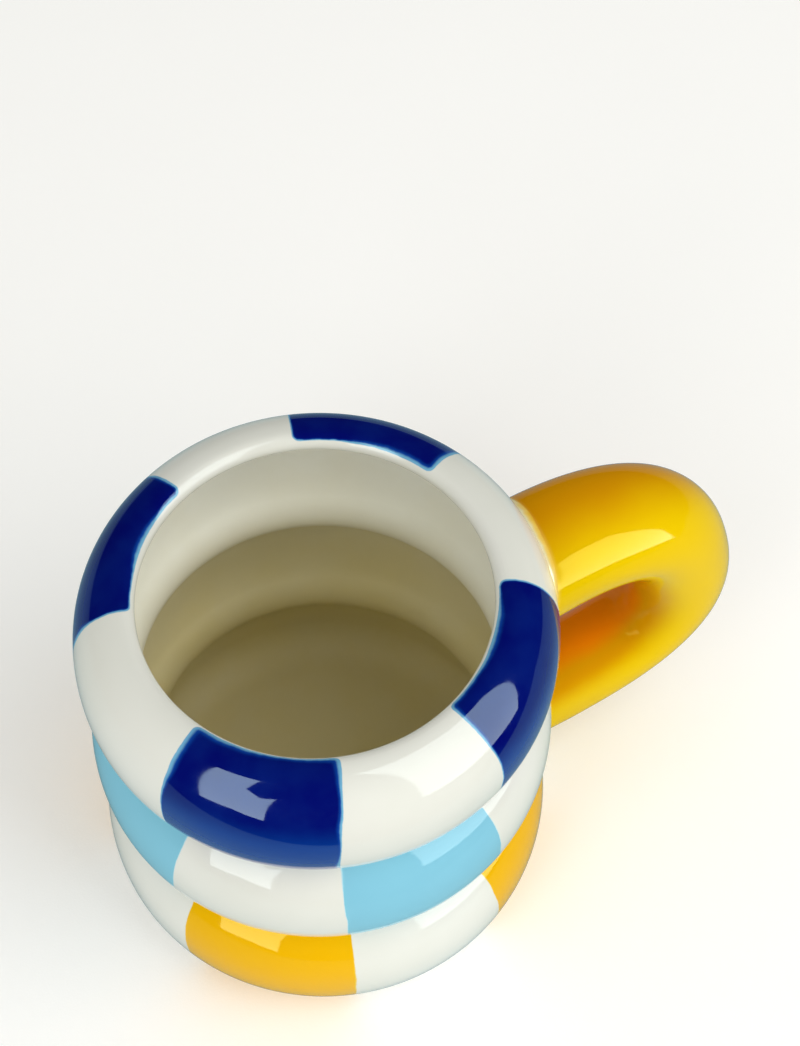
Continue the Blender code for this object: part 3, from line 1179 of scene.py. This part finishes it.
@dataclass(frozen=True)
class SoftBox:
    """A soft box: a rectangular lamp that either shades surfaces or shows in them."""

    name: str
    centre: Colour
    facing: Colour
    width: float
    height: float
    radiance: float
    tint: Colour
    mirrored: bool = False

    def build(self) -> Piece:
        """The lamp, its power set so that its face has the wanted radiance."""
        lamp = bpy.data.lights.new(self.name, "AREA")
        lamp.shape = "RECTANGLE"
        lamp.size, lamp.size_y = self.width, self.height
        lamp.energy = self.radiance * math.pi * self.width * self.height
        lamp.color = self.tint
        obj = new_object(self.name, lamp)
        obj.location = self.centre
        obj.rotation_mode = "QUATERNION"
        obj.rotation_quaternion = Vector(self.facing).to_track_quat("-Z", "Y")
        obj.visible_camera = False
        obj.visible_glossy, obj.visible_diffuse = self.mirrored, not self.mirrored
        return obj


@dataclass(frozen=True)
class GlowPanel:
    """A shining panel seen only in reflections, its outline given as directions.

    Each corner is an azimuth from +X and an elevation, in degrees, as seen from a
    point near the mug; all corners stand at the same distance from it.
    """

    name: str
    seen_from: Colour
    corners: tuple[tuple[float, float], ...]
    radiance: float
    tint: Colour
    distance: float

    def build(self) -> Piece:
        """The panel as one many-sided face with an even glow."""
        azimuth, elevation = np.radians(np.array(self.corners)).T
        level = np.cos(elevation)
        towards = joined(level * np.cos(azimuth), level * np.sin(azimuth), np.sin(elevation))
        points = np.array(self.seen_from) + self.distance * towards
        panel = new_mesh(self.name, points, [list(range(len(points)))])
        material, graph, _ = new_material(self.name)
        material.node_tree.nodes.clear()
        glow = graph.result("ShaderNodeEmission", {"Color": self.tint, "Strength": self.radiance})
        graph.fill(graph.add("ShaderNodeOutputMaterial"), {"Surface": glow})
        panel.data.materials.append(material)
        panel.visible_camera = panel.visible_diffuse = panel.visible_shadow = False
        return panel


def light_only(source: Piece, pieces: list[Piece]) -> None:
    """Let a lamp or a panel reach only some of the pieces."""
    group = bpy.data.collections.new(f"{source.name}_reach")
    for piece in pieces:
        group.objects.link(piece)
    source.light_linking.receiver_collection = group


WARM: Colour = (1.0, 0.99, 0.97)
COOL: Colour = (0.88, 0.96, 1.0)
TORN_SHEET = (
    (-169, 56), (-147, 60), (-146, 37), (-138, 26), (-132, 30),
    (-134, 12), (-135, -12), (-147, -6), (-159, -6),
)
BROAD_SHEET = (
    (-84, 33), (-78, 37), (-68, 37), (-55, 34), (-46, 22),
    (-38, 3), (-40, -14), (-60, -14), (-80, -13),
)


@dataclass(frozen=True)
class Studio:
    """Table, lamps, surroundings and camera."""

    camera_place: Colour = (-0.07995, -0.19887, 0.45747)
    camera_pitch: float = math.radians(32.07)
    camera_turn: float = math.radians(-26.0)
    lens: float = 80.946
    shown: Colour = (0.93, 0.93, 0.925)
    fill: Colour = (0.565, 0.565, 0.54)
    mirrored: Colour = (0.012, 0.013, 0.015)
    lamps: tuple[SoftBox, ...] = (
        SoftBox("left_soft_box", (-0.666, -0.361, 0.576), (0.635, 0.757, -0.156), 0.35, 1.25, 1.95, WARM),
        SoftBox("right_soft_box", (0.397, -0.369, 0.62), (-0.286, 0.9025, -0.321), 0.63, 1.48, 1.8, WARM),
        SoftBox("front_fill", (-0.46, -0.54, 0.11), (0.64, 0.76, -0.07), 0.60, 0.30, 1.85, WARM),
    )
    right_glow: SoftBox = SoftBox(
        "right_glow", (0.362, -0.356, 0.575), (-0.286, 0.9025, -0.321), 0.60, 1.22, 5.0, COOL, mirrored=True
    )
    left_glow: GlowPanel = GlowPanel("left_glow", (-0.022, -0.030, 0.088), TORN_SHEET, 6.0, COOL, 0.9)
    handle_glow: GlowPanel = GlowPanel("handle_glow", (0.058, -0.009, 0.079), BROAD_SHEET, 17.0, COOL, 2.0)

    def surroundings(self) -> None:
        """A pale backdrop for the camera, a soft fill, and dark reflections."""
        world = bpy.data.worlds.new("studio")
        world.use_nodes = True
        bpy.context.scene.world = world
        graph = Graph(world.node_tree)
        ground = world.node_tree.nodes["Background"]
        path = graph.add("ShaderNodeLightPath").outputs
        lit = graph.mix(path["Is Diffuse Ray"], self.mirrored, self.fill)
        graph.feed(ground.inputs["Color"], graph.mix(path["Is Camera Ray"], lit, self.shown))

    def camera(self) -> None:
        """The camera, above the mug and to the left of its handle."""
        data = bpy.data.cameras.new("camera")
        data.sensor_width, data.lens = 36.0, self.lens
        data.clip_start, data.clip_end = 0.01, 20.0
        camera = new_object("camera", data)
        camera.location = self.camera_place
        camera.rotation_euler = Euler((self.camera_pitch, 0.0, self.camera_turn))
        bpy.context.scene.camera = camera

    def build(self, cup: Piece, handle: list[Piece]) -> None:
        """Set up everything that isn't the mug.

        Args:
            cup: The cup, lit by its own glows.
            handle: The handle and its beads, lit by theirs.
        """
        TableTop().build()
        for lamp in self.lamps:
            lamp.build()
        light_only(self.right_glow.build(), [cup])
        for panel, pieces in ((self.left_glow, [cup, *handle]), (self.handle_glow, handle)):
            glow = panel.build()
            light_only(glow, pieces)
        self.surroundings()
        self.camera()
        bpy.context.scene.view_settings.view_transform = "Standard"


def place(piece: Piece, node: str, slot: str) -> Piece:
    """Let a finished piece ride on the frame and stand for its node.

    Args:
        piece: The finished piece.
        node: The CAD node that it stands for.
        slot: The record's material slot; not used.

    Returns:
        The same piece.
    """
    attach(piece, "root")
    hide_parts(node)
    LOG.info("%s stands for %s: %d faces", piece.name, node, len(piece.data.polygons))
    return piece


def main() -> None:
    """Build the mug's pieces in order, then the studio."""
    logging.basicConfig(level=logging.INFO, format="%(name)s: %(message)s")
    low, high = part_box("cup_body")
    kiln = Kiln()
    cup = CupShape(crest_radius=high.x - INSET, crown=high.z - INSET)
    painted_cup = place(Cup(cup, kiln).build(), "cup_body", "white_glaze")
    handle = Handle(HandleShape(), cup, kiln)
    arms = [
        place(handle.tube(), "handle", "yellow_glaze"),
        place(handle.bead("upper_slip_bead", End.UPPER), "upper_slip_joint", "joint_glaze"),
        place(handle.bead("lower_slip_bead", End.LOWER), "lower_slip_joint", "joint_glaze"),
    ]
    Studio().build(painted_cup, arms)


if __name__ == "__main__":
    main()
